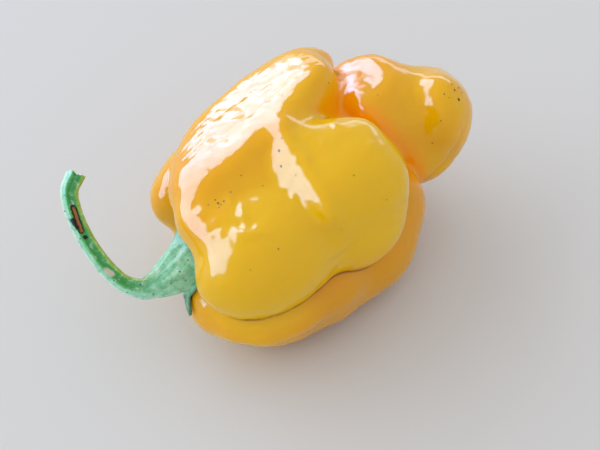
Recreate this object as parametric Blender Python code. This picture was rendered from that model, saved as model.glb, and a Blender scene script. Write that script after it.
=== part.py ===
# A chilli pepper, picked and lying on its side: the lobed pod, and the stem with its calyx.
# Lengths below are in millimetres, and the finished meshes are scaled to metres.
import math

import bmesh
import bpy
import numpy as np
from mathutils import Vector
from mathutils.bvhtree import BVHTree

METRES = 0.001

# The pod's axis runs from its shoulder, where the stem joins, to its tip.
SHOULDER = (-15.0, -7.5, 14.0)
AXIS_TURN = math.radians(40)

# Groups of lobes that the skin wraps: the group's name, the width over which it melts into
# those before it, and its lobes. A lobe is its name, centre and radii as (along, side, up) from
# the shoulder, how boxy it is with 2 for round, yaw and pitch in degrees, and its own melt.
GROUPS = (
    ("body", 0.01, (
        ("core", (19.0, 0.0, 0.0), (18.0, 11.0, 11.0), 2, 0, 0, 0.01),
        ("shelf", (8.0, 1.6, 8.0), (9.5, 6.2, 4.2), 3, 0, 0, 3.0),
        ("middle", (15.0, 2.0, 5.0), (9.0, 8.0, 7.6), 2, 0, 0, 3.0),
        ("back_shoulder", (12.2, -4.6, 7.6), (11.2, 7.2, 7.6), 2, 0, 0, 3.0),
        ("ridge_middle", (14.5, -7.0, 8.0), (9.5, 6.8, 6.8), 2, 0, 0, 3.0),
        ("back_ridge", (22.0, -10.9, 8.7), (13.0, 5.5, 5.6), 2, -4, 6, 4.0),
        ("ridge_tip", (25.6, -8.2, 8.6), (6.8, 5.5, 8.0), 2.5, -14, 0, 2.0),
        ("ridge_end", (20.6, -5.2, 8.0), (9.4, 5.6, 7.6), 2, -30, 0, 2.0),
        ("front_shoulder", (7.0, 8.2, 4.6), (11.0, 7.9, 8.2), 2, 0, 0, 2.0),
        ("front_middle", (13.5, 7.2, 3.6), (9.5, 7.2, 8.2), 2, 0, 0, 2.0),
        ("bridge", (18.6, 0.6, 7.0), (4.9, 6.5, 7.6), 2, 0, 0, 2.5),
        ("front_cheek", (21.2, 6.6, 6.6), (9.4, 9.0, 8.8), 2.5, 0, 0, 2.0),
        ("cheek_front", (17.8, 6.0, 5.6), (5.8, 8.2, 8.8), 4.5, 0, 0, 1.2),
    )),
    ("cheek_fold", 2.2, (
        ("cheek_fold", (21.3, 11.0, 2.2), (6.5, 5.5, 6.0), 2, 0, 0, 1.0),
    )),
    ("low_band", 0.5, (
        ("low_shoulder", (2.7, 5.0, -4.2), (6.3, 6.0, 6.0), 2, 0, 0, 3.0),
        ("low_front", (7.5, 7.8, -6.0), (6.5, 6.8, 7.0), 2, 0, 0, 3.0),
        ("low_middle", (15.0, 9.2, -6.3), (9.0, 7.0, 7.0), 2, 0, 0, 3.0),
        ("low_side", (24.0, 9.0, -6.0), (8.5, 7.0, 7.5), 2, 0, 0, 3.0),
        ("low_heel", (30.0, 6.0, -3.5), (6.5, 6.5, 6.5), 2, 0, 0, 3.0),
        ("roll_end", (1.0, 9.6, -3.4), (3.4, 3.4, 3.4), 2, 0, 0, 2.0),
        ("roll_left", (3.6, 12.0, -3.4), (4.0, 3.5, 3.6), 2, 0, 0, 1.5),
        ("roll_front", (8.0, 13.0, -3.4), (5.0, 3.5, 3.6), 2, 0, 0, 1.5),
        ("roll_middle", (14.0, 13.0, -3.4), (6.0, 3.5, 3.9), 2, 0, 0, 1.5),
    )),
    ("back_fold", 1.0, (
        ("back_fold", (13.0, -10.7, 0.6), (11.5, 6.2, 7.6), 2, 0, 0, 1.2),
    )),
    ("under", 3.0, (
        ("under_shoulder", (10.0, -5.0, -5.5), (7.5, 6.5, 6.5), 2, 0, 0, 3.0),
        ("under_back", (16.0, -8.6, -6.2), (10.0, 6.5, 7.4), 2, 6, 0, 2.5),
        ("under_heel", (27.5, -5.0, -5.4), (9.0, 7.2, 8.0), 2, 0, 4, 3.0),
        ("under_middle", (17.0, 0.5, -6.5), (13.0, 7.0, 5.4), 2, 0, 0, 3.0),
    )),
    ("tip", 1.0, (
        ("neck", (31.0, -5.5, 2.6), (7.0, 6.2, 6.0), 2, 0, 0, 1.2),
        ("tip_top", (36.4, -3.5, 4.9), (7.0, 8.5, 7.2), 2.2, 0, 0, 2.0),
        ("tip_middle", (40.4, -1.0, 3.8), (5.6, 8.0, 6.2), 2, 0, 0, 2.0),
        ("tip_low", (40.8, 1.6, -1.2), (7.2, 6.3, 6.6), 2, 0, 0, 3.0),
        ("tip_end", (43.6, 0.6, 2.6), (6.0, 6.2, 6.2), 2.2, 0, 0, 2.0),
        ("tip_front", (43.2, 3.2, 3.9), (4.6, 5.0, 6.7), 2, 0, 0, 2.0),
    )),
)
# Flats that a lobe or a group is trimmed to: a point on it, the way it faces, and its melt.
FLATS = {
    "body": ((18.0, -9.0, 13.4), (-0.17, -0.38, 0.91), 1.5),
    "tip_top": ((36.5, -6.0, 10.2), (-0.22, -0.36, 0.90), 1.0),
}
FOOT_DROP = 0.45
FLAT_SNAP = 0.03
POD_VOXEL = 0.9
POD_TRIANGLES = 8000

# The stem's path in the pod's world, from inside the calyx to the cut end, with its radius.
STEM_PATH = (
    ((-16.7, -8.2, 14.2), 3.25),
    ((-17.9, -9.4, 14.2), 2.80),
    ((-19.1, -10.5, 14.3), 2.30),
    ((-20.3, -11.3, 14.4), 1.82),
    ((-21.6, -12.0, 14.6), 1.42),
    ((-24.1, -11.8, 15.4), 1.22),
    ((-26.4, -10.4, 16.8), 1.18),
    ((-28.5, -8.4, 18.6), 1.15),
    ((-30.1, -6.3, 20.4), 1.15),
    ((-31.3, -4.0, 22.2), 1.20),
    ((-31.7, -2.0, 23.8), 1.22),
    ((-30.8, -0.2, 25.2), 1.38),
)
STEM_SIDES = 30
STEM_RINGS = 28
NECK_RINGS = 6
CALYX_AXIS = (0.0, -0.4, 0.4)
CALYX_RADIUS = 4.1
CALYX_TEETH = 5
TOOTH_REACH = 0.7
CALYX_RINGS = 5
CALYX_EDGE = 0.7
POD_GAP = 0.75
DROP_HEIGHT = 12.0

SKIN_YELLOW = (0.86, 0.46, 0.01, 1.0)
STEM_GREEN = (0.24, 0.47, 0.22, 1.0)


def axes():
    along = np.array((math.cos(AXIS_TURN), math.sin(AXIS_TURN), 0.0))
    side = np.array((math.sin(AXIS_TURN), -math.cos(AXIS_TURN), 0.0))
    return np.stack((along, side, (0.0, 0.0, 1.0)))


def place(local):
    return np.array(SHOULDER) + np.asarray(local, float) @ axes()


def lobe_turn(yaw, pitch):
    y, p = math.radians(yaw), math.radians(-pitch)
    turn = np.array(((math.cos(y), -math.sin(y), 0), (math.sin(y), math.cos(y), 0), (0, 0, 1)))
    tilt = np.array(((math.cos(p), 0, math.sin(p)), (0, 1, 0), (-math.sin(p), 0, math.cos(p))))
    return (turn @ tilt).T @ axes()


def melted(first, second, melt):
    """Distance to two solids as one, with their meeting line softened over the melt."""
    share = np.clip(0.5 + 0.5 * (first - second) / melt, 0.0, 1.0)
    return first + (second - first) * share - melt * share * (1.0 - share)


def trimmed(distance, points, flat):
    """Distance to a solid that is cut back to its flat."""
    spot, heading, melt = flat
    outward = np.array(heading) / np.linalg.norm(heading) @ axes()
    return -melted(-distance, -((points - place(spot)) @ outward), melt)


def lobe_distance(points, lobe):
    """Distance to one lobe, negative inside."""
    name, centre, radii, box, yaw, pitch, _ = lobe
    share = np.abs((points - place(centre)) @ lobe_turn(yaw, pitch).T) / radii + 1e-9
    ratio = np.sum(share ** box, axis=1) ** (1.0 / box)
    slope = np.linalg.norm((share / ratio[:, None]) ** (box - 1) / radii, axis=1)
    distance = (ratio - 1.0) / slope
    return trimmed(distance, points, FLATS[name]) if name in FLATS else distance


def skin_distance(points):
    """Distance to the blended skin of all lobes, negative inside."""
    total = None
    for name, melt, lobes in GROUPS:
        group = lobe_distance(points, lobes[0])
        for lobe in lobes[1:]:
            group = melted(group, lobe_distance(points, lobe), lobe[-1])
        if name in FLATS:
            group = trimmed(group, points, FLATS[name])
        total = group if total is None else melted(total, group, melt)
    return total


def skin_normal(points, step=0.05):
    shifts = np.eye(3) * step
    slopes = [skin_distance(points + shift) - skin_distance(points - shift) for shift in shifts]
    normal = np.stack(slopes, axis=1)
    return normal / (np.linalg.norm(normal, axis=1, keepdims=True) + 1e-9)


def make_material(name, colour, roughness):
    material = bpy.data.materials.new(name)
    material.use_nodes = True
    shader = material.node_tree.nodes["Principled BSDF"]
    shader.inputs["Base Color"].default_value = colour
    shader.inputs["Roughness"].default_value = roughness
    shader.inputs["Metallic"].default_value = 0.0
    material.diffuse_color = colour
    return material


def add_object(name, mesh):
    thing = bpy.data.objects.new(name, mesh)
    bpy.context.scene.collection.objects.link(thing)
    return thing


def bake_modifiers(thing):
    """Swap the object's mesh for the one its modifiers give."""
    view = bpy.context.evaluated_depsgraph_get()
    baked = bpy.data.meshes.new_from_object(thing.evaluated_get(view))
    old = thing.data
    thing.modifiers.clear()
    thing.data = baked
    bpy.data.meshes.remove(old)


def get_points(mesh):
    flat = np.empty(len(mesh.vertices) * 3)
    mesh.vertices.foreach_get("co", flat)
    return flat.reshape(-1, 3)


def set_points(mesh, points):
    mesh.vertices.foreach_set("co", points.ravel())
    mesh.update()


def lobe_blank():
    """All lobes as overlapping balls, wrapped in one closed mesh."""
    blank = bmesh.new()
    for _, centre, radii, box, yaw, pitch, _ in [lobe for _, _, lobes in GROUPS for lobe in lobes]:
        ball = bmesh.ops.create_icosphere(blank, subdivisions=4, radius=1.0)["verts"]
        turn = lobe_turn(yaw, pitch)
        for vert in ball:
            way = np.array(vert.co) / np.sum(np.abs(vert.co) ** box) ** (1.0 / box)
            vert.co = place(centre) + (way * radii) @ turn
    mesh = bpy.data.meshes.new("pod")
    blank.to_mesh(mesh)
    blank.free()
    pod = add_object("pod", mesh)
    wrap = pod.modifiers.new("wrap", "REMESH")
    wrap.mode = "VOXEL"
    wrap.voxel_size = POD_VOXEL
    bake_modifiers(pod)
    return pod


def settle_skin(pod, rounds=5):
    """Relax the mesh, then draw it onto the blended skin, a few times over."""
    for _ in range(rounds):
        relax = pod.modifiers.new("relax", "SMOOTH")
        relax.factor = 0.5
        relax.iterations = 3
        bake_modifiers(pod)
        points = get_points(pod.data)
        for _ in range(3):
            points = points - skin_distance(points)[:, None] * skin_normal(points)
        set_points(pod.data, points)


def cut_feet(pod, level):
    """Slice the lowest lobes off at one level, which leaves the flats the pod lies on."""
    work = bmesh.new()
    work.from_mesh(pod.data)
    geometry = work.verts[:] + work.edges[:] + work.faces[:]
    bmesh.ops.bisect_plane(
        work, geom=geometry, dist=1e-4, plane_co=(0.0, 0.0, level), plane_no=(0, 0, 1), clear_inner=True
    )
    rims = [edge for edge in work.edges if edge.is_boundary]
    bmesh.ops.holes_fill(work, edges=rims, sides=0)
    bmesh.ops.dissolve_degenerate(work, dist=0.03, edges=work.edges[:])
    for vert in work.verts:
        if vert.co.z < level + FLAT_SNAP:
            vert.co.z = level
    bmesh.ops.triangulate(work, faces=work.faces[:])
    bmesh.ops.recalc_face_normals(work, faces=work.faces[:])
    work.to_mesh(pod.data)
    work.free()


def make_pod():
    pod = lobe_blank()
    settle_skin(pod)
    count = sum(len(face.vertices) - 2 for face in pod.data.polygons)
    thin = pod.modifiers.new("thin", "DECIMATE")
    thin.ratio = POD_TRIANGLES / count
    thin.use_collapse_triangulate = True
    bake_modifiers(pod)
    cut_feet(pod, get_points(pod.data)[:, 2].min() + FOOT_DROP)
    pod.data.materials.append(make_material("pod skin", SKIN_YELLOW, 0.25))
    return pod


def catmull(knots, t):
    """Point at t on the smooth curve through the knots, t running from 0 to 1."""
    spans = len(knots) - 1
    at = min(max(t, 0.0), 1.0) * spans
    i = min(int(at), spans - 1)
    u = at - i
    before, start, end, after = (knots[min(max(i + n, 0), spans)] for n in (-1, 0, 1, 2))
    bend = 2 * before - 5 * start + 4 * end - after
    twist = 3 * (start - end) + after - before
    return start + 0.5 * u * ((end - before) + u * (bend + u * twist))


def stem_sections():
    """Centres, radii and cross axes of the rings along the stem."""
    knots = [np.array((*point, radius)) for point, radius in STEM_PATH]
    steps = [n / (STEM_RINGS - 1) for n in range(STEM_RINGS)]
    points = np.array([catmull(knots, t) for t in steps])
    centres, radii = points[:, :3], points[:, 3]
    heading = np.gradient(centres, axis=0)
    heading /= np.linalg.norm(heading, axis=1, keepdims=True)
    across = np.array((0.0, 0.0, 1.0))
    sections = []
    for centre, radius, ahead in zip(centres, radii, heading):
        across = across - ahead * (across @ ahead)
        across /= np.linalg.norm(across)
        sections.append((centre, radius, across, np.cross(ahead, across)))
    return sections


def drop_on_pod(skin, points):
    """Points brought along the pod's axis, from outside, until they stand the gap off its skin."""
    along = Vector(axes()[0])
    landed = []
    for point in points:
        hit = skin.ray_cast(Vector(point) - along * DROP_HEIGHT, along)[0]
        landed.append(hit - along * POD_GAP)
    return np.array(landed)


def clear_pod(skin, ring):
    """Lift the parts of a stalk ring that would sink into the pod's shoulder."""
    along = axes()[0]
    lift = (ring - drop_on_pod(skin, ring)) @ along + CALYX_EDGE
    return ring - along * np.maximum(lift, 0.0)[:, None]


def calyx_rings(skin, neck_ring):
    """Rings of the calyx: its upper face from the neck out, then its seat on the pod back in."""
    along, side, up = axes()
    hub = place(CALYX_AXIS)
    offsets = (neck_ring - hub) @ np.stack((side, up)).T
    angles = np.arctan2(offsets[:, 1], offsets[:, 0])
    neck = np.linalg.norm(offsets, axis=1)
    rim = CALYX_RADIUS + TOOTH_REACH * np.cos(CALYX_TEETH * angles / 2) ** 6
    spokes = np.cos(angles)[:, None] * side + np.sin(angles)[:, None] * up
    upper, seat = [], []
    for n in range(1, CALYX_RINGS + 1):
        share = n / CALYX_RINGS
        reach = neck + (rim - neck) * share
        ring = drop_on_pod(skin, hub + spokes * reach[:, None])
        height = (ring - neck_ring) @ along
        rise = CALYX_EDGE + (height - CALYX_EDGE) * (1 - share) ** 2
        upper.append(ring - along * rise[:, None])
        seat.insert(0, ring)
    for share in (0.7, 0.35):
        seat.append(drop_on_pod(skin, hub + spokes * neck[:, None] * share))
    return upper + seat


def make_stem(pod):
    skin = BVHTree.FromObject(pod, bpy.context.evaluated_depsgraph_get())
    angles = [2 * math.pi * n / STEM_SIDES for n in range(STEM_SIDES)]
    stalk = []
    for centre, radius, across, over in stem_sections():
        spokes = [math.cos(a) * across + math.sin(a) * over for a in angles]
        stalk.append(centre + radius * np.array(spokes))
    for n in range(NECK_RINGS):
        stalk[n] = clear_pod(skin, stalk[n])
    rings = stalk[::-1] + calyx_rings(skin, stalk[0])
    ends = (rings[0].mean(axis=0), drop_on_pod(skin, (rings[-1].mean(axis=0),))[0])
    work = bmesh.new()
    loops = [[work.verts.new(point) for point in ring] for ring in rings]
    for near, far in zip(loops, loops[1:]):
        for i in range(STEM_SIDES):
            j = (i + 1) % STEM_SIDES
            work.faces.new((near[i], near[j], far[j], far[i]))
    for loop, end in zip((loops[0], loops[-1]), ends):
        hub = work.verts.new(end)
        for i in range(STEM_SIDES):
            work.faces.new((loop[i], loop[(i + 1) % STEM_SIDES], hub))
    bmesh.ops.triangulate(work, faces=work.faces[:])
    bmesh.ops.recalc_face_normals(work, faces=work.faces[:])
    mesh = bpy.data.meshes.new("stem")
    work.to_mesh(mesh)
    work.free()
    mesh.materials.append(make_material("stem", STEM_GREEN, 0.55))
    return add_object("stem", mesh)


def to_metres(things):
    """Stand the finished pieces on the ground, centred over the origin, in metres."""
    clouds = np.concatenate([get_points(thing.data) for thing in things])
    low, high = clouds.min(axis=0), clouds.max(axis=0)
    foot = np.array(((low[0] + high[0]) / 2, (low[1] + high[1]) / 2, low[2]))
    for thing in things:
        set_points(thing.data, (get_points(thing.data) - foot) * METRES)
        thing.data.shade_smooth()
        thing.data.set_sharp_from_angle(angle=math.radians(50))


def main():
    for thing in list(bpy.data.objects):
        bpy.data.objects.remove(thing)
    pod = make_pod()
    stem = make_stem(pod)
    to_metres((pod, stem))


main()
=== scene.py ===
# A ripe yellow chilli pepper, picked, lying on its side on a pale table.
import math

import bmesh
import bpy
import numpy as np
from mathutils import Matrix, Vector, noise
from mathutils.bvhtree import BVHTree


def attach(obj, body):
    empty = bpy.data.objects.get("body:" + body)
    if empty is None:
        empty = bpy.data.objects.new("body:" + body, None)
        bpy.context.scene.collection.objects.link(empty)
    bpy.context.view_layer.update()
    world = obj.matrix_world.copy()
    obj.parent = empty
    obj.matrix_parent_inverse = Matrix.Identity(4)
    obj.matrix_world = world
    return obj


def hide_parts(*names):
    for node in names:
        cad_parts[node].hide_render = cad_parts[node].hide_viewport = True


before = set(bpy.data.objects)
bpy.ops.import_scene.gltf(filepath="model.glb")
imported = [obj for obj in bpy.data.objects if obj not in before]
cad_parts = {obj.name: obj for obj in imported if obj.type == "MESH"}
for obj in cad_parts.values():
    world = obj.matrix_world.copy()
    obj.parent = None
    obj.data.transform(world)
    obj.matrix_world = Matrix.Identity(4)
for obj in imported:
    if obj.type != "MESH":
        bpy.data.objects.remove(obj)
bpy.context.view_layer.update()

mm = 0.001  # everything below is in millimetres until a mesh is finished
print("frame loaded")


# small helpers

def hexColour(code):  # "#RRGGBB" as seen on a screen, turned to linear light
    parts = [int(code[i:i + 2], 16) / 255 for i in (1, 3, 5)]
    linear = [c / 12.92 if c <= 0.04045 else ((c + 0.055) / 1.055) ** 2.4 for c in parts]
    return (*linear, 1.0)


def addNode(tree, kind, inputs=None, **settings):  # one node: its settings, then values or links into it
    node = tree.nodes.new(kind)
    for name, value in settings.items():
        setattr(node, name, value)
    for name, value in (inputs or {}).items():
        if isinstance(value, bpy.types.NodeSocket):
            tree.links.new(value, node.inputs[name])
        else:
            node.inputs[name].default_value = value
    return node


def newMaterial(name):
    material = bpy.data.materials.new(name)
    material.use_nodes = True
    tree = material.node_tree
    return material, tree, tree.nodes["Principled BSDF"]


def newObject(name, mesh):
    thing = bpy.data.objects.new(name, mesh)
    bpy.context.scene.collection.objects.link(thing)
    return thing


def settleModifiers(thing):  # the mesh as its modifiers leave it becomes the object's own
    view = bpy.context.evaluated_depsgraph_get()
    made = bpy.data.meshes.new_from_object(thing.evaluated_get(view))
    old = thing.data
    thing.modifiers.clear()
    thing.data = made
    bpy.data.meshes.remove(old)


def getPoints(mesh):
    flat = np.empty(len(mesh.vertices) * 3)
    mesh.vertices.foreach_get("co", flat)
    return flat.reshape(-1, 3)


def setPoints(mesh, points):
    mesh.vertices.foreach_set("co", np.ascontiguousarray(points, float).ravel())
    mesh.update()


def setValue(mesh, name, values):  # one number for each vertex, which a material can read
    layer = mesh.attributes.new(name, "FLOAT", "POINT")
    layer.data.foreach_set("value", np.asarray(values, float))


def smoothStep(low, high, values):
    t = np.clip((np.asarray(values, float) - low) / (high - low), 0.0, 1.0)
    return t * t * (3.0 - 2.0 * t)


def noiseAt(points, size, seed=0.0):  # soft noise, about -1 to 1, with lumps of that size
    shift = Vector((seed * 3.7, seed * 1.3, seed * 2.9))
    return np.array([noise.noise(Vector(p) / size + shift) for p in points])


# where it is looked at from

view = {
    "target": (3.78, -4.10, 13.14),  # mm
    "elevation": 50.0,
    "distance": 238.1,
    "lens": 100.0,
    "turnedAway": (0.02, 0.25),  # how squarely skin has to face the view before marks show on it
}


# the pod's form: lobes that one skin wraps

pod = {
    "shoulder": (-11.22, -11.59, 13.14),  # where the stem joins, in mm
    "axisTurn": 40.0,  # degrees from +X towards +Y, stem to tip
    # groups of lobes, each with how widely it melts into the groups before it; a lobe is its name,
    # centre and radii as (along, side, up), how boxy (2 is round), yaw, pitch, and how widely it
    # melts into the lobes before it
    "groups": (
        ("body", 0.01, (
            ("core", (19.0, 0.0, 0.0), (18.0, 11.0, 11.0), 2, 0, 0, 0.01),
            ("shelf", (8.0, 1.6, 8.0), (9.5, 6.2, 4.2), 3, 0, 0, 3.0),
            ("middle", (15.0, 2.0, 5.0), (9.0, 8.0, 7.6), 2, 0, 0, 3.0),
            ("backShoulder", (12.2, -4.6, 7.6), (11.2, 7.2, 7.6), 2, 0, 0, 3.0),
            ("ridgeMiddle", (14.5, -7.0, 8.0), (9.5, 6.8, 6.8), 2, 0, 0, 3.0),
            ("backRidge", (22.0, -10.9, 8.7), (13.0, 5.5, 5.6), 2, -4, 6, 4.0),
            ("ridgeTip", (25.6, -8.2, 8.6), (6.8, 5.5, 8.0), 2.5, -14, 0, 2.0),
            ("ridgeEnd", (20.6, -5.2, 8.0), (9.4, 5.6, 7.6), 2, -30, 0, 2.0),
            ("frontShoulder", (7.0, 8.2, 4.6), (11.0, 7.9, 8.2), 2, 0, 0, 2.0),
            ("frontMiddle", (13.5, 7.2, 3.6), (9.5, 7.2, 8.2), 2, 0, 0, 2.0),
            ("bridge", (18.6, 0.6, 7.0), (4.9, 6.5, 7.6), 2, 0, 0, 2.5),
            ("frontCheek", (21.2, 6.6, 6.6), (9.4, 9.0, 8.8), 2.5, 0, 0, 2.0),
            ("cheekFront", (17.8, 6.0, 5.6), (5.8, 8.2, 8.8), 4.5, 0, 0, 1.2),
        )),
        ("cheekFold", 2.2, (
            ("cheekFold", (21.3, 11.0, 2.2), (6.5, 5.5, 6.0), 2, 0, 0, 1.0),
        )),
        ("lowBand", 0.5, (
            ("lowShoulder", (2.7, 5.0, -4.2), (6.3, 6.0, 6.0), 2, 0, 0, 3.0),
            ("lowFront", (7.5, 7.8, -6.0), (6.5, 6.8, 7.0), 2, 0, 0, 3.0),
            ("lowMiddle", (15.0, 9.2, -6.3), (9.0, 7.0, 7.0), 2, 0, 0, 3.0),
            ("lowSide", (24.0, 9.0, -6.0), (8.5, 7.0, 7.5), 2, 0, 0, 3.0),
            ("lowHeel", (30.0, 6.0, -3.5), (6.5, 6.5, 6.5), 2, 0, 0, 3.0),
            ("rollEnd", (1.0, 9.6, -3.4), (3.4, 3.4, 3.4), 2, 0, 0, 2.0),
            ("rollLeft", (3.6, 12.0, -3.4), (4.0, 3.5, 3.6), 2, 0, 0, 1.5),
            ("rollFront", (8.0, 13.0, -3.4), (5.0, 3.5, 3.6), 2, 0, 0, 1.5),
            ("rollMiddle", (14.0, 13.0, -3.4), (6.0, 3.5, 3.9), 2, 0, 0, 1.5),
        )),
        ("backFold", 1.0, (
            ("backFold", (13.0, -10.7, 0.6), (11.5, 6.2, 7.6), 2, 0, 0, 1.2),
        )),
        ("under", 3.0, (
            ("underShoulder", (10.0, -5.0, -5.5), (7.5, 6.5, 6.5), 2, 0, 0, 3.0),
            ("underBack", (16.0, -8.6, -6.2), (10.0, 6.5, 7.4), 2, 6, 0, 2.5),
            ("underHeel", (27.5, -5.0, -5.4), (9.0, 7.2, 8.0), 2, 0, 4, 3.0),
            ("underMiddle", (17.0, 0.5, -6.5), (13.0, 7.0, 5.4), 2, 0, 0, 3.0),
        )),
        ("tip", 1.0, (
            ("neck", (31.0, -5.5, 2.6), (7.0, 6.2, 6.0), 2, 0, 0, 1.2),
            ("tipTop", (36.4, -3.5, 4.9), (7.0, 8.5, 7.2), 2.2, 0, 0, 2.0),
            ("tipMiddle", (40.4, -1.0, 3.8), (5.6, 8.0, 6.2), 2, 0, 0, 2.0),
            ("tipLow", (40.8, 1.6, -1.2), (7.2, 6.3, 6.6), 2, 0, 0, 3.0),
            ("tipEnd", (43.6, 0.6, 2.6), (6.0, 6.2, 6.2), 2.2, 0, 0, 2.0),
            ("tipFront", (43.2, 3.2, 3.9), (4.6, 5.0, 6.7), 2, 0, 0, 2.0),
        )),
    ),
    # flats that a lobe is trimmed to: a point on it, which way it faces, how softly it trims
    "flats": {
        "tipTop": ((36.5, -6.0, 10.2), (-0.22, -0.36, 0.90), 1.0),
        "body": ((18.0, -9.0, 13.4), (-0.17, -0.38, 0.91), 1.5),
    },
    "middle": (20.0, 0.0, 0.0),
    "ballDetail": 4,
    "voxel": 0.31,
    "relax": (0.5, 4),  # how strongly the mesh is smoothed before it is drawn on, and how often
    "sharpMelt": 0.9,  # groups that melt less than this meet in a sharp fold
    "foldWidth": 0.22,
    "foldDepth": 0.6,
}


def podAxes():
    turn = math.radians(pod["axisTurn"])
    along = np.array((math.cos(turn), math.sin(turn), 0.0))
    side = np.array((math.sin(turn), -math.cos(turn), 0.0))
    return np.stack((along, side, (0.0, 0.0, 1.0)))


def inPod(points):  # world mm to (along, side, up)
    return (np.asarray(points, float) - pod["shoulder"]) @ podAxes().T


def fromPod(local):
    return np.asarray(local, float) @ podAxes() + pod["shoulder"]


def lobeTurn(yaw, pitch):
    y, p = math.radians(yaw), math.radians(-pitch)
    turn = np.array(((math.cos(y), -math.sin(y), 0), (math.sin(y), math.cos(y), 0), (0, 0, 1)))
    tilt = np.array(((math.cos(p), 0, math.sin(p)), (0, 1, 0), (-math.sin(p), 0, math.cos(p))))
    return turn @ tilt


def trimmed(distance, local, flat):
    point, heading, melt = flat
    beyond = (local - point) @ (np.array(heading) / np.linalg.norm(heading))
    share = np.clip(0.5 - 0.5 * (distance - beyond) / melt, 0.0, 1.0)
    return distance + (beyond - distance) * share + melt * share * (1.0 - share)


def melted(total, own, melt):  # both solids as one, their meeting line softened over that width
    if total is None:
        return own
    share = np.clip(0.5 + 0.5 * (total - own) / melt, 0.0, 1.0)
    return total + (own - total) * share - melt * share * (1.0 - share)


def groupDistances(points):  # how far outside each group of lobes each point is
    local = inPod(points)
    for name, melt, lobes in pod["groups"]:
        total = None
        for lobe, centre, radii, box, yaw, pitch, soft in lobes:
            q = np.abs((local - centre) @ lobeTurn(yaw, pitch)) / radii + 1e-9
            ratio = np.sum(q ** box, axis=1) ** (1.0 / box)
            slope = np.linalg.norm((q / ratio[:, None]) ** (box - 1) / radii, axis=1)
            own = (ratio - 1.0) / slope
            if lobe in pod["flats"]:
                own = trimmed(own, local, pod["flats"][lobe])
            total = melted(total, own, soft)
        if name in pod["flats"]:
            total = trimmed(total, local, pod["flats"][name])
        yield total, melt


def skinDistance(points):  # how far outside the blended skin each point is
    total = None
    for own, melt in groupDistances(points):
        total = melted(total, own, melt)
    return total


def foldLine(points):  # 1 where two groups meet in a sharp fold
    total, line = None, np.zeros(len(points))
    for own, melt in groupDistances(points):
        if total is not None and melt < pod["sharpMelt"]:
            apart = np.square((total - own) / pod["foldWidth"])
            off = np.square(np.minimum(total, own) / pod["foldDepth"])
            line = np.maximum(line, np.exp(-apart - off))
        total = melted(total, own, melt)
    return line


def skinNormal(points, step=0.05):
    shifts = np.eye(3) * step
    slopes = [skinDistance(points + shift) - skinDistance(points - shift) for shift in shifts]
    normal = np.stack(slopes, axis=1)
    return normal / (np.linalg.norm(normal, axis=1, keepdims=True) + 1e-9)


def podBlank():  # all lobes as overlapping balls, wrapped in one closed skin
    blank = bmesh.new()
    lobes = [lobe for _, _, group in pod["groups"] for lobe in group]
    for _, centre, radii, box, yaw, pitch, _ in lobes:
        turn = lobeTurn(yaw, pitch)
        for vert in bmesh.ops.create_icosphere(blank, subdivisions=pod["ballDetail"], radius=1.0)["verts"]:
            way = np.array(vert.co)
            way /= np.sum(np.abs(way) ** box) ** (1.0 / box)
            vert.co = fromPod(np.array(centre) + turn @ (way * radii))
    mesh = bpy.data.meshes.new("chilliPod")
    blank.to_mesh(mesh)
    blank.free()
    thing = newObject("chilliPod", mesh)
    wrap = thing.modifiers.new("wrap", "REMESH")
    wrap.mode = "VOXEL"
    wrap.voxel_size = pod["voxel"]
    settleModifiers(thing)
    return thing


def settleSkin(thing, rounds=3):  # relax the mesh and draw it onto the blended skin, in turns
    for _ in range(rounds):
        relax = thing.modifiers.new("relax", "SMOOTH")
        relax.factor, relax.iterations = pod["relax"]
        settleModifiers(thing)
        points = getPoints(thing.data)
        for _ in range(2):
            points = points - skinDistance(points)[:, None] * skinNormal(points)
        setPoints(thing.data, points)


def seenPlace(points):  # (across, up) in mm as each point lies for somebody at the usual view
    tilt = math.radians(view["elevation"])
    offset = np.asarray(points, float) - view["target"]
    near = offset[:, 2] * math.sin(tilt) - offset[:, 1] * math.cos(tilt)
    across = offset[:, 0]
    up = offset[:, 1] * math.sin(tilt) + offset[:, 2] * math.cos(tilt)
    return np.stack((across, up), axis=1) * (view["distance"] / (view["distance"] - near))[:, None]


def facing(normals):  # 1 where the skin faces the usual view, 0 where it turns away
    tilt = math.radians(view["elevation"])
    return smoothStep(*view["turnedAway"], normals @ (0.0, -math.cos(tilt), math.sin(tilt)))


def lineGap(place, line):  # gap from each place to a line drawn through a few points
    gap = np.full(len(place), 1e9)
    for start, end in zip(np.array(line[:-1]), np.array(line[1:])):
        run = end - start
        share = np.clip((place - start) @ run / (run @ run), 0.0, 1.0)
        gap = np.minimum(gap, np.linalg.norm(place - start - share[:, None] * run, axis=1))
    return gap


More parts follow.
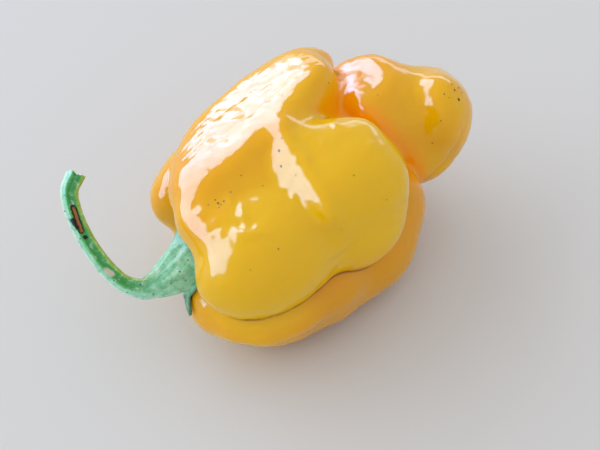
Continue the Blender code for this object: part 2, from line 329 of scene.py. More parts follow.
relief = {
    "lumps": ((0.20, 8.0, 1), (0.12, 3.6, 2), (0.06, 1.6, 3)),  # the skin's unevenness: height, size, seed
    "foldDepth": 0.18,
    "wander": (0.25, 2.5, 4),  # how pressed lines stray: by how much, over what length, seed
    "fullCrease": 0.30,  # a line this deep takes the whole painted crease shade
    "puckerSeed": 11,
    # lines pressed into the skin: points as (across, up), how deep, how wide
    "creases": (
        (((3.7, -6.0), (4.6, -5.0), (6.6, -3.7), (8.0, -2.4)), 0.12, 0.30),
        (((-12.0, -14.0), (-10.9, -15.2), (-9.8, -15.6)), 0.08, 0.30),
        (((22.9, 13.6), (20.6, 8.8), (17.2, 5.6)), 0.12, 0.40),
        (((-13.4, -10.7), (-12.3, -12.4), (-10.6, -13.9), (-8.6, -14.6)), 0.06, 0.30),
        (((-7.1, -15.7), (-2.1, -15.0), (1.4, -13.3)), 0.05, 0.40),
        (((12.6, 10.7), (14.0, 6.4), (14.2, 2.9)), 0.06, 0.28),
    ),
    # patches of small dents: centre (across, up), reach (across, up), lump size, height
    "puckers": (
        ((-14.6, 0.6), (2.6, 2.4), 1.2, 0.16),
        ((-10.0, -1.2), (4.0, 1.6), 0.9, 0.10),
        ((-9.0, 1.0), (4.0, 3.0), 1.6, 0.10),
        ((-1.5, 9.0), (3.0, 6.0), 1.1, 0.10),
        ((3.6, 2.6), (2.6, 3.0), 0.9, 0.10),
        ((-14.0, 10.0), (4.5, 5.0), 1.4, 0.06),
        ((-5.0, 16.0), (4.5, 4.0), 1.4, 0.06),
        ((17.5, 15.0), (3.0, 5.0), 1.1, 0.10),
        ((8.0, 17.5), (3.0, 3.5), 1.2, 0.08),
    ),
    # low rises: centre (across, up), reach along and across its length, turn, height
    "rises": (
        ((0.7, 7.9), 8.0, 1.5, -55, 0.60),
        ((-2.3, 13.6), 2.6, 1.4, -80, 0.50),
        ((4.6, 1.4), 2.0, 1.2, -55, 0.45),
        ((9.6, 16.4), 3.6, 2.0, -62, 0.85),
        ((15.0, 17.5), 3.6, 1.6, -70, -0.40),
        ((20.6, 15.8), 5.2, 2.4, -78, 1.40),
        ((-8.0, -1.3), 3.4, 0.8, 4, 0.35),
        ((-10.0, 3.4), 0.9, 0.6, -70, 0.22),
        ((-8.1, 1.5), 1.0, 0.6, -70, 0.22),
        ((-0.8, 3.7), 0.9, 0.6, -60, 0.20),
        ((0.9, 9.4), 1.0, 0.6, -60, 0.20),
        ((5.0, 14.4), 0.9, 0.5, -20, 0.20),
        ((3.3, 11.7), 0.5, 0.35, -60, 0.15),
        ((10.0, 11.6), 0.6, 0.35, -60, 0.15),
    ),
}


def skinRelief(points, normals):  # how far each point stands proud of the smooth skin, in mm
    seen = seenPlace(points)
    front = facing(normals)
    proud = sum(height * noiseAt(points, size, seed) for height, size, seed in relief["lumps"])
    for centre, length, width, turn, height in relief["rises"]:
        way = math.radians(turn)
        q = seen - centre
        lengthwise = q @ (math.cos(way), math.sin(way)) / length
        crosswise = q @ (-math.sin(way), math.cos(way)) / width
        proud += front * height * np.exp(-lengthwise ** 2 - crosswise ** 2)
    for centre, reach, size, height in relief["puckers"]:
        near = np.exp(-np.sum(np.square((seen - centre) / reach), axis=1))
        proud += front * near * height * noiseAt(points, size, relief["puckerSeed"])
    # the sharp folds and the pressed lines below also give the mask of the painted shade in the creases
    creaseAndShade = foldLine(points)
    proud -= relief["foldDepth"] * creaseAndShade
    stray, size, seed = relief["wander"]
    wander = stray * noiseAt(points, size, seed)
    for line, depth, width in relief["creases"]:
        pressed = front * np.exp(-np.square((lineGap(seen, line) + wander) / width))
        proud -= depth * pressed
        creaseAndShade = np.maximum(creaseAndShade, pressed * depth / relief["fullCrease"])
    return proud + ridgeWrinkles(points), creaseAndShade


wrinkles = {
    "depth": 0.055,
    "apart": 1.55,  # mm from one line to the next
    "radius": 7.0,  # turns an angle round the ridge into mm
    "sharpness": 3.0,
    "wander": ((0.9, 9.0, 5), (0.25, 3.0, 6)),  # how the lines stray: by how much, over what length, seed
    "faintest": 0.4,  # how much is left of the lines where they fade
    "fade": (-0.2, 0.3, 4.5, 10),  # noise from and to which they fade, its size and seed
    # for ridge and tip: (side, up) of the line they turn round, where along they start and end, front edge
    "runs": (((-7.5, 7.0), 3.0, 32.0, -4.5), ((-4.0, 2.0), 32.0, 46.0, -6.0)),
    "startFade": 4.0,
    "endFade": 3.0,
    "edgeFade": 3.0,
    "lowFade": 2.0,
}


def ridgeWrinkles(points):  # fine lines that run along the back ridge and the top of the tip
    along, side, up = inPod(points).T
    wander = sum(stray * noiseAt(points, size, seed) for stray, size, seed in wrinkles["wander"])
    low, high, size, seed = wrinkles["fade"]
    faintest = wrinkles["faintest"]
    faint = faintest + (1 - faintest) * smoothStep(low, high, noiseAt(points, size, seed))
    total = np.zeros(len(points))
    for centre, start, end, edge in wrinkles["runs"]:
        angle = np.arctan2(up - centre[1], centre[0] - side)
        aroundRidge = angle * wrinkles["radius"] + wander
        wave = np.abs(np.sin(math.pi * aroundRidge / wrinkles["apart"]))
        line = np.power(1.0 - wave, wrinkles["sharpness"])
        where = smoothStep(start, start + wrinkles["startFade"], along)
        where *= smoothStep(end, end - wrinkles["endFade"], along)
        where *= smoothStep(edge, edge - wrinkles["edgeFade"], side)
        where *= smoothStep(0.0, wrinkles["lowFade"], up)
        total -= wrinkles["depth"] * line * where * faint
    return total


specks = {
    # the dots on the side that faces the usual view: (across, up) and radius in mm
    "seen": (
        (-12.1, 3.6, 0.10), (-11.7, 3.1, 0.14), (-11.3, 2.9, 0.09), (-10.9, 3.4, 0.12), (-11.6, 2.5, 0.08),
        (-9.9, 4.7, 0.09), (-13.1, 2.9, 0.08), (-5.3, 5.6, 0.08), (-8.4, 7.1, 0.08), (-3.1, -3.4, 0.10),
        (-3.0, 10.6, 0.16), (-2.7, 8.4, 0.13), (-2.6, 12.4, 0.09), (-0.6, 7.1, 0.08), (7.7, 7.1, 0.10),
        (4.1, 20.3, 0.09), (22.7, 17.9, 0.24), (22.1, 19.3, 0.15), (22.7, 19.6, 0.12), (21.7, 20.1, 0.10),
        (20.6, 18.7, 0.11), (18.9, 11.7, 0.10), (20.1, 14.9, 0.09), (23.1, 18.9, 0.10), (21.3, 18.2, 0.08),
        (-14.6, 1.4, 0.07), (-7.1, -6.4, 0.07), (5.9, -0.6, 0.07), (12.4, 3.6, 0.07), (11.1, 18.6, 0.07),
    ),
    "swell": 1.5,  # drawn this much wider than life, so that they show
    "scattered": 60,  # tries at a dot on the other sides
    "size": (0.07, 0.15),
    "startOut": 60.0,  # how far out each try starts
    "facingLess": 0.1,
    "aboveTable": 1.0,
    "raggedness": 0.35,
    "unlike": 5.1,  # how far apart in the noise two dots are
    "sunk": 0.02,
    "height": 0.05,
    "sides": 9,
    "seed": 7,
}


def speckPlaces(skin):  # where each speck sits on the skin, its normal and its radius
    tilt = math.radians(view["elevation"])
    toward = Vector((0.0, -math.cos(tilt), math.sin(tilt)))
    lift = Vector((0.0, math.sin(tilt), math.cos(tilt)))
    eye = Vector(view["target"]) + toward * view["distance"]
    for across, up, radius in specks["seen"]:
        aim = Vector(view["target"]) + Vector((across, 0.0, 0.0)) + lift * up
        spot, normal = skin.ray_cast(eye, (aim - eye).normalized())[:2]
        if spot:
            yield spot, normal, radius * specks["swell"]
    rng = np.random.default_rng(specks["seed"])
    for _ in range(specks["scattered"]):
        way = Vector(rng.normal(size=3)).normalized()
        middle = Vector(fromPod(pod["middle"]))
        spot, normal = skin.ray_cast(middle + way * specks["startOut"], -way)[:2]
        if spot and normal @ toward < specks["facingLess"] and spot.z > specks["aboveTable"]:
            yield spot, normal, rng.uniform(*specks["size"])


def addSpecks(thing):  # small corky dots that swell a little out of the skin
    mesh = thing.data
    work = bmesh.new()
    work.from_mesh(mesh)
    skin = BVHTree.FromBMesh(work)
    for index, (spot, normal, radius) in enumerate(list(speckPlaces(skin))):
        turn = normal.to_track_quat("Z", "Y")
        ring = []
        for n in range(specks["sides"]):
            angle = 2 * math.pi * n / specks["sides"]
            where = Vector((index * specks["unlike"], math.cos(angle), math.sin(angle)))
            reach = radius * (1 + specks["raggedness"] * noise.noise(where))
            place = spot + turn @ Vector((math.cos(angle) * reach, math.sin(angle) * reach, 0.0))
            ring.append(work.verts.new(skin.find_nearest(place)[0] - normal * specks["sunk"]))
        top = work.verts.new(spot + normal * specks["height"])
        for n in range(specks["sides"]):
            face = work.faces.new((ring[n], ring[(n + 1) % specks["sides"]], top))
            face.material_index = 1
            face.smooth = True
    work.to_mesh(mesh)
    work.free()


tints = {
    # where the pod's colours lie, in mm: a pair is where a colour starts and where it is whole
    "tip": (20.0, 27.0),
    "foldReach": 4.5,  # how far out the skin looks for a neighbouring lobe, to place the painted bounce light in folds
    "foldOnBody": 0.35,
    "glowReach": 4.2,  # how far the painted glow, a warm orange standing in for light in the pocket, runs from where body and tip meet
    "glowOnTip": 0.7,
    "lemonLobes": (((20.5, 7.5, 7.5), (10.0, 9.5, 9.5)), ((8.0, 9.5, 5.0), (11.5, 7.5, 9.0))),
    "lemonSize": 8.0,  # turns a share of those lobes into mm
    "lemonEdge": 2.5,
    "lemonOffTip": (1.5, 7.0),
    # painted shade on the low band: how near the low band a point must be, then where along the pod it starts
    # and is whole
    "underEdge": 1.2,
    "under": (4.0, 12.0),
}


def podLemon(points):  # how far each point is from the lemon-coloured front lobes
    local = inPod(points)
    gaps = [np.linalg.norm((local - centre) / radii, axis=1) - 1.0 for centre, radii in tints["lemonLobes"]]
    return np.minimum.reduce(gaps) * tints["lemonSize"]


def podTints(points, normals):  # how much of each colour each point of the skin takes, 0 to 1
    apart = {name: own for (name, _, _), (own, _) in zip(pod["groups"], groupDistances(points))}
    along = inPod(points)[:, 0]
    onTip = smoothStep(*tints["tip"], along)
    # painted bounce light: the skin is warmed to a brighter orange where a neighbouring lobe is near, weaker
    # on the body than on the tip
    foldBounce = 1.0 - skinDistance(points + normals * tints["foldReach"]) / tints["foldReach"]
    meeting = np.maximum(apart["body"], tints["glowOnTip"] * apart["tip"])
    lemon = smoothStep(tints["lemonEdge"], 0.0, podLemon(points))
    return {
        "foldBounce": np.clip(foldBounce, 0.0, 1.0) * (tints["foldOnBody"] + (1 - tints["foldOnBody"]) * onTip),
        # painted glow: warm orange in the pocket where body and tip meet
        "paintedGlow": smoothStep(tints["glowReach"], 0.0, meeting) * onTip,
        "lemon": lemon * smoothStep(*tints["lemonOffTip"], apart["tip"]),
        # painted shade on the low band, which is turned from the light
        "under": smoothStep(tints["underEdge"], 0.0, apart["lowBand"]) * smoothStep(*tints["under"], along),
    }


def makePod():
    thing = podBlank()
    settleSkin(thing)
    points = getPoints(thing.data)
    normals = skinNormal(points)
    proud, creaseAndShade = skinRelief(points, normals)
    values = podTints(points, normals)
    values["creaseAndShade"] = creaseAndShade
    points = points + normals * proud[:, None]
    points[:, 2] = np.maximum(points[:, 2], 0.0)
    setPoints(thing.data, points)
    for name, amounts in values.items():
        setValue(thing.data, name, amounts)
    addSpecks(thing)
    setPoints(thing.data, getPoints(thing.data) * mm)
    thing.data.shade_smooth()
    print("pod skin:", len(thing.data.polygons), "faces")
    return thing


# waxy pepper skin: a ripe fruit wall under its own smooth wax, grown and never polished, which gives the eye
# a deep even yellow with sharp bright highlights on top
podSkin = {
    "ripe": "#ECB400",  # the body's warm yellow
    "deep": "#ECA600",  # its deeper patches
    "patchMm": 16,
    "patchRange": (0.35, 0.65),
    "mottleMm": 2.4,
    "mottle": 0.9,
    # colours laid over that in turn: the tint that places it, where it starts and is whole, its colour
    "layers": (
        ("lemon", 0.0, 1.25, "#EABC00"),  # the greener yellow of the front lobes
        ("under", 0.0, 1.0, "#DE9A00"),  # painted shade: the low fold is darker because it is turned from the light
        # painted bounce light: brighter orange in the folds between lobes
        ("foldBounce", 0.3, 1.0, "#FFA600"),
        # painted glow: warm orange in the pocket where body and tip meet
        ("paintedGlow", 0.0, 1.0, "#FFA800"),
        # painted shade: dark brown laid into the creases where the skin folds in
        ("creaseAndShade", 0.3, 1.0, "#8A4800"),
    ),
    "roughness": 0.34,
    "waxRoughness": 0.11,
    "waxIor": 1.45,
    "peelMm": 0.9,  # the skin's cells are finer than 0.1 mm, and are drawn coarser so that they show
    "peelDepthMm": 0.05,
    "peelStrength": 0.5,
    "depthShare": 0.2,  # how much light goes into the flesh, and how far it spreads there by colour
    "depthSpread": (1.0, 0.45, 0.08),
    "depthMm": 1.5,
}


def makePodSkin():
    material, tree, shader = newMaterial("waxy pepper skin")
    place = addNode(tree, "ShaderNodeTexCoord").outputs["Object"]
    sizes = {"Vector": place, "Scale": 1 / (podSkin["patchMm"] * mm), "Detail": 2.0}
    broad = addNode(tree, "ShaderNodeTexNoise", sizes)
    low, high = podSkin["patchRange"]
    spread = {"Value": broad.outputs["Fac"], "From Min": low, "From Max": high}
    patch = addNode(tree, "ShaderNodeMapRange", spread)
    sizes = {"Vector": place, "Scale": 1 / (podSkin["mottleMm"] * mm), "Detail": 4.0}
    fine = addNode(tree, "ShaderNodeTexNoise", sizes)
    swing = {0: fine.outputs["Fac"], 1: podSkin["mottle"], 2: -podSkin["mottle"] / 2}
    uneven = addNode(tree, "ShaderNodeMath", swing, operation="MULTIPLY_ADD")
    both = {0: patch.outputs["Result"], 1: uneven.outputs["Value"]}
    share = addNode(tree, "ShaderNodeMath", both, operation="ADD", use_clamp=True)
    # a colour mix takes its two colours at sockets 6 and 7 and gives the result at 2
    flesh = {"Factor": share.outputs["Value"], 6: hexColour(podSkin["ripe"]), 7: hexColour(podSkin["deep"])}
    shade = addNode(tree, "ShaderNodeMix", flesh, data_type="RGBA").outputs[2]
    for name, low, high, colour in podSkin["layers"]:
        depth = addNode(tree, "ShaderNodeAttribute", attribute_name=name).outputs["Fac"]
        amount = addNode(tree, "ShaderNodeMapRange", {"Value": depth, "From Min": low, "From Max": high})
        over = {"Factor": amount.outputs["Result"], 6: shade, 7: hexColour(colour)}
        shade = addNode(tree, "ShaderNodeMix", over, data_type="RGBA").outputs[2]
    tree.links.new(shade, shader.inputs["Base Color"])
    sizes = {"Vector": place, "Scale": 1 / (podSkin["peelMm"] * mm), "Detail": 2.0}
    peel = addNode(tree, "ShaderNodeTexNoise", sizes)
    swell = {"Height": peel.outputs["Fac"], "Strength": podSkin["peelStrength"],
             "Distance": podSkin["peelDepthMm"] * mm}
    bump = addNode(tree, "ShaderNodeBump", swell)
    tree.links.new(bump.outputs["Normal"], shader.inputs["Normal"])
    tree.links.new(bump.outputs["Normal"], shader.inputs["Coat Normal"])
    shader.inputs["Roughness"].default_value = podSkin["roughness"]
    shader.inputs["Specular IOR Level"].default_value = 0.0
    shader.inputs["Coat IOR"].default_value = podSkin["waxIor"]
    shader.inputs["Coat Weight"].default_value = 1.0
    shader.inputs["Coat Roughness"].default_value = podSkin["waxRoughness"]
    shader.inputs["Subsurface Weight"].default_value = podSkin["depthShare"]
    shader.inputs["Subsurface Radius"].default_value = podSkin["depthSpread"]
    shader.inputs["Subsurface Scale"].default_value = podSkin["depthMm"] * mm
    return material


# corky speck: dry dead skin over a pore, which gives the eye a small dull dark dot
speckSkin = {
    "colour": "#1A0C03",
    "roughness": 0.6,
}


def makeSpeckSkin():
    material, _, shader = newMaterial("corky speck")
    shader.inputs["Base Color"].default_value = hexColour(speckSkin["colour"])
    shader.inputs["Roughness"].default_value = speckSkin["roughness"]
    return material


# the stem: a ribbed green stalk that flares into a calyx seated on the pod's shoulder

stem = {
    # centre and radius down the stalk, from the pod to the broken end
    "path": (
        (-12.92, -12.29, 13.34, 3.30), (-14.12, -13.49, 13.34, 2.85), (-15.32, -14.59, 13.44, 2.32),
        (-16.52, -15.39, 13.54, 1.84), (-17.82, -16.09, 13.74, 1.44), (-20.32, -15.89, 14.54, 1.22),
        (-22.62, -14.49, 15.94, 1.18), (-24.72, -12.49, 17.74, 1.15), (-26.32, -10.39, 19.54, 1.15),
        (-27.52, -8.09, 21.34, 1.18), (-27.92, -6.09, 22.94, 1.20), (-27.02, -4.29, 24.34, 1.30),
    ),
    "sides": 96,
    "rings": 190,
    "neckRings": 42,
    "neckEnd": (2.0, 7.0),  # mm down the stalk over which the neck turns into the slim stalk
    "waves": ((0.05, 6, 0.6, 0.05), (0.03, 11, 2.0, 0.0)),  # ribs: height, how many, start, twist for each mm
    # furrows and ribs at one angle, as shares of the radius: height, angle, half width
    "slimFurrows": ((-0.13, 0.20, 0.34), (0.06, 0.95, 0.22), (0.06, -0.55, 0.30)),
    "neckFurrows": ((-0.10, -0.55, 0.12),),
    "hub": (0.0, -0.4, 0.4),
    "calyxRadius": 4.0,
    # calyx points: angle from the front side towards the top, reach beyond the rim, half width in degrees
    "teeth": ((-38, 2.6, 11), (35, 0.7, 16), (92, 0.6, 14), (150, 2.2, 15), (212, 0.9, 16), (268, 0.8, 15)),
    "toothShape": 1.2,
    "calyxRings": 12,
    "edge": 0.42,
    "seatGap": 0.30,
    "seatShares": (0.7, 0.35),
    "dropFrom": 12.0,
    "cutShares": (0.25, 0.5, 0.72, 0.9),  # rings across the broken end
    "cutRim": 0.35,
    "tearRun": 0.8,  # how much of the stalk's end is torn
    "tearRings": 12,
    "tears": ((0.45, 0.9, 8), (0.2, 0.35, 9)),  # how ragged the torn end is: height, size, seed
    "ragged": (0.10, 0.5, 7),  # how ragged the marks' edges are: height, size, seed
    "scarSoft": 0.06,
    "scarRim": (0.16, 0.06),  # the black edge round the scar, from where it starts to where it is whole
    "blackSoft": 0.08,
    "paleSoft": (0.25, 0.15),
    "paleRagged": 1.6,
    # marks on the side that faces the usual view: points (across, up) of a line and its half width
    "scar": (((-32.4, 2.5), (-32.0, 1.4), (-31.6, 0.2), (-31.2, -0.8)), 0.34),
    "blackened": (
        (((-32.5, 0.8), (-32.3, 0.2), (-31.8, -0.4)), 0.30),
        (((-30.7, -1.7), (-30.6, -1.8)), 0.30),
        (((-32.6, 2.6), (-32.2, 2.7)), 0.16),
    ),
    "pale": (((-27.6, -6.5), (-26.9, -7.0)), 0.36),
}


def catmull(knots, t):  # the point at t, 0 to 1, on the smooth curve through the knots
    spans = len(knots) - 1
    at = min(max(t, 0.0), 1.0) * spans
    i = min(int(at), spans - 1)
    u = at - i
    before, start, end, after = (knots[min(max(i + n, 0), spans)] for n in (-1, 0, 1, 2))
    bend = 2 * before - 5 * start + 4 * end - after
    twist = 3 * (start - end) + after - before
    return start + 0.5 * u * ((end - before) + u * (bend + u * twist))


def dropOnPod(skin, points):  # along the pod's axis from outside until just clear of its skin
    along = podAxes()[0]
    landed = []
    for point in points:
        hit = skin.ray_cast(Vector(point - along * stem["dropFrom"]), Vector(along))[0]
        landed.append(np.array(hit) - along * stem["seatGap"])
    return np.array(landed)


def stalkRings():  # points of each ring, and for each ring its distance down the stalk
    knots = [np.array(knot) for knot in stem["path"]]
    line = np.array([catmull(knots, n / (stem["rings"] - 1)) for n in range(stem["rings"])])
    centres, radii = line[:, :3], line[:, 3]
    heading = np.gradient(centres, axis=0)
    heading /= np.linalg.norm(heading, axis=1, keepdims=True)
    tilt = math.radians(view["elevation"])
    toward = np.array((0.0, -math.cos(tilt), math.sin(tilt)))
    front = toward - heading * (heading @ toward)[:, None]
    front /= np.linalg.norm(front, axis=1, keepdims=True)
    inner = np.cross(heading, front)
    angles = np.linspace(-math.pi, math.pi, stem["sides"], endpoint=False)
    down = np.concatenate(((0.0,), np.cumsum(np.linalg.norm(np.diff(centres, axis=0), axis=1))))
    rings = []
    for centre, radius, ahead, inside, run in zip(centres, radii, front, inner, down):
        slim = smoothStep(*stem["neckEnd"], run)
        rib = np.zeros(len(angles))
        for height, count, start, twist in stem["waves"]:
            rib += height * np.cos(count * angles + start + twist * run)
        for furrows, share in ((stem["slimFurrows"], slim), (stem["neckFurrows"], 1 - slim)):
            for height, middle, half in furrows:
                rib += height * share * np.exp(-((angles - middle) / half) ** 2)
        spokes = np.cos(angles)[:, None] * ahead + np.sin(angles)[:, None] * inside
        rings.append(centre + spokes * (radius * (1 + rib))[:, None])
    return rings, down, angles


def calyxReach(angles):  # how far the calyx rim stands from its hub at each angle
    reach = np.full(len(angles), stem["calyxRadius"])
    for turn, beyond, half in stem["teeth"]:
        apart = (np.degrees(angles) - turn + 180) % 360 - 180
        reach += beyond * np.clip(1 - np.abs(apart) / half, 0, 1) ** stem["toothShape"]
    return reach


def calyxRings(skin, neckRing):  # upper face from the neck out to the rim, then its seat back in
    along, side, up = podAxes()
    hub = fromPod(stem["hub"])
    offsets = (neckRing - hub) @ np.stack((side, up)).T
    angles = np.arctan2(offsets[:, 1], offsets[:, 0])
    neck = np.linalg.norm(offsets, axis=1)
    rim = calyxReach(angles)
    spokes = np.cos(angles)[:, None] * side + np.sin(angles)[:, None] * up
    upper, seat = [], []
    for n in range(1, stem["calyxRings"] + 1):
        share = n / stem["calyxRings"]
        reach = neck + (rim - neck) * share
        ring = dropOnPod(skin, hub + spokes * reach[:, None])
        height = (ring - neckRing) @ along
        rise = stem["edge"] + (height - stem["edge"]) * (1 - share) ** 2
        upper.append(ring - along * rise[:, None])
        seat.insert(0, ring)
    for share in stem["seatShares"]:
        seat.append(dropOnPod(skin, hub + spokes * neck[:, None] * share))
    return upper, seat


def stemMarks(points):  # how scarred, blackened or pale each point of the stalk is
    seen = seenPlace(points)
    high, size, seed = stem["ragged"]
    ragged = high * noiseAt(points, size, seed)
    line, half = stem["scar"]
    gap = lineGap(seen, line) + ragged
    soft = stem["scarSoft"]
    scar = smoothStep(half + soft, half - soft, gap)
    black = smoothStep(*stem["scarRim"], np.abs(gap - half))
    soft = stem["blackSoft"]
    for line, half in stem["blackened"]:
        black = np.maximum(black, smoothStep(half + soft, half - soft, lineGap(seen, line) + ragged))
    line, half = stem["pale"]
    outer, inner = stem["paleSoft"]
    pale = smoothStep(half + outer, half - inner, lineGap(seen, line) + stem["paleRagged"] * ragged)
    return {"scar": scar, "black": black, "pale": pale}


def ringFaces(sides, count):  # quads between rings, then a fan at each end round a middle point
    faces = []
    for ring in range(count - 1):
        here, there = ring * sides, (ring + 1) * sides
        for i in range(sides):
            j = (i + 1) % sides
            faces.append((here + i, here + j, there + j, there + i))
    last = (count - 1) * sides
    for i in range(sides):
        j = (i + 1) % sides
        faces.append((j, i, count * sides))
        faces.append((last + i, last + j, count * sides + 1))
    return faces


def makeStem(podThing):
    podPoints = getPoints(podThing.data) / mm
    podFaces = [tuple(face.vertices) for face in podThing.data.polygons]
    skin = BVHTree.FromPolygons([Vector(p) for p in podPoints], podFaces)
    stalk, down, angles = stalkRings()
    along = podAxes()[0]
    for n in range(stem["neckRings"]):  # lift what would sink into the pod's shoulder
        lift = (stalk[n] - dropOnPod(skin, stalk[n])) @ along + stem["edge"]
        stalk[n] = stalk[n] - along * np.maximum(lift, 0.0)[:, None]
    upper, seat = calyxRings(skin, stalk[0])
    end = stalk[-1].mean(axis=0)
    cut = [end + (stalk[-1] - end) * share for share in stem["cutShares"]]
    rings = cut + stalk[::-1] + upper + seat
    runs = [down[-1]] * len(cut) + list(down[::-1]) + [0.0] * (len(upper) + len(seat))
    cutness = [1.0] * len(cut) + [stem["cutRim"]] + [0.0] * (len(rings) - len(cut) - 1)
    rimness = [0.0] * (len(cut) + len(stalk)) + list(np.linspace(0, 1, len(upper))) + [1.0] * len(seat)
    points = np.concatenate(rings + [end[None], rings[-1].mean(axis=0)[None]])
    sides, count = stem["sides"], len(rings)
    atEnd = smoothStep(down[-1] - stem["tearRun"], down[-1], np.array(runs))
    ends = np.concatenate((np.repeat(atEnd, sides), (1.0, 0.0)))
    tear = sum(high * noiseAt(points, size, seed) for high, size, seed in stem["tears"])
    away = end - stalk[-stem["tearRings"]].mean(axis=0)
    points = points + away / np.linalg.norm(away) * (ends * tear)[:, None]
    mesh = bpy.data.meshes.new("stemAndCalyx")
    mesh.from_pydata((points * mm).tolist(), [], ringFaces(sides, count))
    thing = newObject("stemAndCalyx", mesh)
    setValue(mesh, "around", np.concatenate((np.tile(angles, count), (0.0, 0.0))))
    for name, ringValues, atCut, atSeat in (
        ("down", runs, down[-1], 0.0), ("cut", cutness, 1.0, 0.0), ("rim", rimness, 0.0, 1.0),
    ):
        setValue(mesh, name, np.concatenate((np.repeat(ringValues, sides), (atCut, atSeat))))
    for name, amounts in stemMarks(points).items():
        setValue(mesh, name, amounts)
    fix = bmesh.new()
    fix.from_mesh(mesh)
    bmesh.ops.recalc_face_normals(fix, faces=fix.faces[:])
    fix.to_mesh(mesh)
    fix.free()
    mesh.shade_smooth()
    print("stem:", len(mesh.polygons), "faces")
    return thing


# fresh green stalk: living fibre under a thin dull wax, which gives the eye soft lengthwise streaks of green
# and a low broad sheen, with a painted pale highlight along one edge
stemSkin = {
    "green": "#52B060",
    "mintAndSheen": "#96DCBC",
    "paleSheenAndFleck": "#DCF2E6",  # the painted pale highlight on its outer edge, also used for pale flecks
    "inner": "#A6BC4C",
    "channel": "#2F8A40",
    "scar": "#96601E",
    "black": "#0B0A08",
    "pale": "#C9C4B4",
    "cut": "#D8DCC6",
    "rim": "#3A5A34",
    # bands of colour down the stalk: middle angle, half width, softness, colour, strength
    "bands": (
        # painted highlight: the two pale bands on the outer edge, as the stalk faces the usual view, stand in
        # for its shine
        (-0.95, 0.42, 0.35, "mintAndSheen", 0.95),
        (-1.35, 0.20, 0.30, "paleSheenAndFleck", 0.8),
        (1.25, 0.30, 0.30, "inner", 0.9),
        (0.25, 0.25, 0.30, "channel", 0.7),
    ),
    "streaks": (7.0, 0.45, 1.0),  # how fine they are round the stalk and along it
    "wobble": 0.7,
    "flare": (9.0, 3.0, 1.8),  # mm down the stalk where mint starts and is whole, and its strength
    "mottleMm": 0.9,
    "mottles": ((0.46, 0.36, "channel", 0.40), (0.52, 0.66, "paleSheenAndFleck", 0.50)),
    "dotMm": 1.1,  # from one dark dot to the next
    "dotEdge": (0.16, 0.10),
    "dotStrength": 0.75,
    # what lies over all that, with its strength
    "marks": (("rim", 0.7), ("pale", 1.0), ("scar", 1.0), ("black", 1.0), ("cut", 1.0)),
    "streakDepthMm": 0.06,
    "streakStrength": 0.5,
    "roughness": 0.42,
    "shine": 0.3,
}


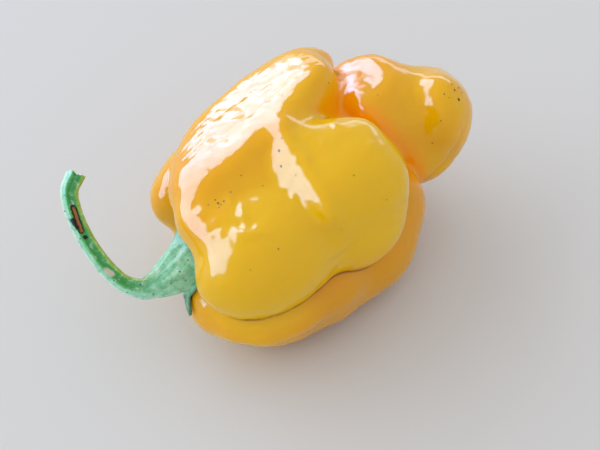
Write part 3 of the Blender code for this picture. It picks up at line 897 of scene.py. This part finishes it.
def makeStemSkin():
    material, tree, shader = newMaterial("fresh green stalk")
    place = addNode(tree, "ShaderNodeTexCoord").outputs["Object"]
    value = {}
    for name in ("around", "down", "cut", "rim", "scar", "black", "pale"):
        value[name] = addNode(tree, "ShaderNodeAttribute", attribute_name=name).outputs["Fac"]
    unrolled = addNode(tree, "ShaderNodeCombineXYZ", {"X": value["around"], "Y": value["down"]})
    threads = {"Vector": unrolled.outputs["Vector"], "Scale": stemSkin["streaks"]}
    thread = addNode(tree, "ShaderNodeMapping", threads)
    sizes = {"Vector": thread.outputs["Vector"], "Scale": 1.0, "Detail": 4.0}
    streak = addNode(tree, "ShaderNodeTexNoise", sizes).outputs["Fac"]
    shade = hexColour(stemSkin["green"])

    def layer(amount, colour, strength):  # lay one more colour over what is there so far
        nonlocal shade
        factors = {0: amount, 1: strength}
        scaled = addNode(tree, "ShaderNodeMath", factors, operation="MULTIPLY", use_clamp=True)
        over = {"Factor": scaled.outputs["Value"], 6: shade, 7: hexColour(stemSkin[colour])}
        shade = addNode(tree, "ShaderNodeMix", over, data_type="RGBA").outputs[2]

    swing = {0: streak, 1: stemSkin["wobble"], 2: -stemSkin["wobble"] / 2}
    wobble = addNode(tree, "ShaderNodeMath", swing, operation="MULTIPLY_ADD")
    turned = {0: value["around"], 1: wobble.outputs["Value"]}
    across = addNode(tree, "ShaderNodeMath", turned, operation="ADD").outputs["Value"]
    # bands follow the angle round the stalk from its side that faces the view; the pale outer ones are
    # painted highlight
    for middle, half, soft, colour, strength in stemSkin["bands"]:
        off = addNode(tree, "ShaderNodeMath", {0: across, 1: middle}, operation="SUBTRACT")
        gap = addNode(tree, "ShaderNodeMath", {0: off.outputs["Value"]}, operation="ABSOLUTE")
        edges = {"Value": gap.outputs["Value"], "From Min": half + soft, "From Max": half}
        band = addNode(tree, "ShaderNodeMapRange", edges, interpolation_type="SMOOTHSTEP")
        layer(band.outputs["Result"], colour, strength)
    start, whole, strength = stemSkin["flare"]
    run = {"Value": value["down"], "From Min": start, "From Max": whole}
    flare = addNode(tree, "ShaderNodeMapRange", run)
    streaked = {0: flare.outputs["Result"], 1: streak}
    mottled = addNode(tree, "ShaderNodeMath", streaked, operation="MULTIPLY")
    layer(mottled.outputs["Value"], "mintAndSheen", strength)
    sizes = {"Vector": place, "Scale": 1 / (stemSkin["mottleMm"] * mm), "Detail": 5.0, "Roughness": 0.65}
    mottle = addNode(tree, "ShaderNodeTexNoise", sizes).outputs["Fac"]
    for low, high, colour, strength in stemSkin["mottles"]:
        patch = addNode(tree, "ShaderNodeMapRange", {"Value": mottle, "From Min": low, "From Max": high})
        layer(patch.outputs["Result"], colour, strength)
    dots = addNode(tree, "ShaderNodeTexVoronoi", {"Vector": place, "Scale": 1 / (stemSkin["dotMm"] * mm)})
    low, high = stemSkin["dotEdge"]
    edges = {"Value": dots.outputs["Distance"], "From Min": low, "From Max": high}
    dot = addNode(tree, "ShaderNodeMapRange", edges)
    layer(dot.outputs["Result"], "black", stemSkin["dotStrength"])
    for name, strength in stemSkin["marks"]:
        layer(value[name], name, strength)
    tree.links.new(shade, shader.inputs["Base Color"])
    swell = {"Height": streak, "Strength": stemSkin["streakStrength"],
             "Distance": stemSkin["streakDepthMm"] * mm}
    bump = addNode(tree, "ShaderNodeBump", swell)
    tree.links.new(bump.outputs["Normal"], shader.inputs["Normal"])
    shader.inputs["Roughness"].default_value = stemSkin["roughness"]
    shader.inputs["Specular IOR Level"].default_value = stemSkin["shine"]
    return material


# pale matt paper: uncoated, which gives the eye a soft even ground with no shine
tableTop = {
    "size": 3.0,  # metres
    "colour": "#D4D4D6",
    "roughness": 0.8,
}

lighting = {
    "room": ("#F2F1EF", 0.88),
    # name, azimuth, elevation, then distance, width and height in metres, watts, colour, and whether it
    # lights matt surfaces: the two sheens only show in the gloss
    "lamps": (
        ("window", -68, 29, 1.20, 2.50, 0.96, 9.0, "#FFFCF8", True),
        ("windowSheen", -68, 29, 1.21, 2.50, 0.96, 74.0, "#8CC4FF", False),
        ("rimSheen", 4, 11, 1.20, 1.30, 0.26, 3.4, "#C0D8FF", False),
    ),
}


def makeStage():
    bpy.ops.mesh.primitive_plane_add(size=tableTop["size"])
    table = bpy.context.object
    table.name = "paleTable"
    material, _, shader = newMaterial("pale matt paper")
    shader.inputs["Base Color"].default_value = hexColour(tableTop["colour"])
    shader.inputs["Roughness"].default_value = tableTop["roughness"]
    table.data.materials.append(material)


def addLamp(name, azimuth, elevation, distance, width, height, watts, colour, lightsMatt):
    data = bpy.data.lights.new(name, "AREA")
    data.shape = "RECTANGLE"
    data.size = width
    data.size_y = height
    data.energy = watts
    data.color = hexColour(colour)[:3]
    lamp = newObject(name, data)
    az, el = math.radians(azimuth), math.radians(elevation)
    way = Vector((math.sin(az) * math.cos(el), math.cos(az) * math.cos(el), math.sin(el)))
    lamp.location = Vector(view["target"]) * mm + way * distance
    lamp.rotation_euler = way.to_track_quat("Z", "Y").to_euler()
    lamp.visible_diffuse = lightsMatt


def makeLight():
    world = bpy.data.worlds.new("soft room")
    bpy.context.scene.world = world
    world.use_nodes = True
    sky = world.node_tree.nodes["Background"]
    colour, strength = lighting["room"]
    sky.inputs["Color"].default_value = hexColour(colour)
    sky.inputs["Strength"].default_value = strength
    for lamp in lighting["lamps"]:
        addLamp(*lamp)


def makeCamera():
    el = math.radians(view["elevation"])
    ahead = Vector((0.0, math.cos(el), -math.sin(el)))
    data = bpy.data.cameras.new("camera")
    data.lens = view["lens"]
    data.clip_start = 0.01
    camera = newObject("camera", data)
    camera.location = (Vector(view["target"]) - ahead * view["distance"]) * mm
    camera.rotation_euler = ahead.to_track_quat("-Z", "Y").to_euler()
    bpy.context.scene.camera = camera


makeStage()
makeLight()
makeCamera()
bpy.context.scene.view_settings.view_transform = "Standard"
print("table, light and camera ready")

podObject = makePod()
podObject.data.materials.append(makePodSkin())
podObject.data.materials.append(makeSpeckSkin())
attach(podObject, "root")
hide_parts("pod")
print("pod ready")

stemObject = makeStem(podObject)
stemObject.data.materials.append(makeStemSkin())
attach(stemObject, "root")
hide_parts("stem")
print("stem ready")
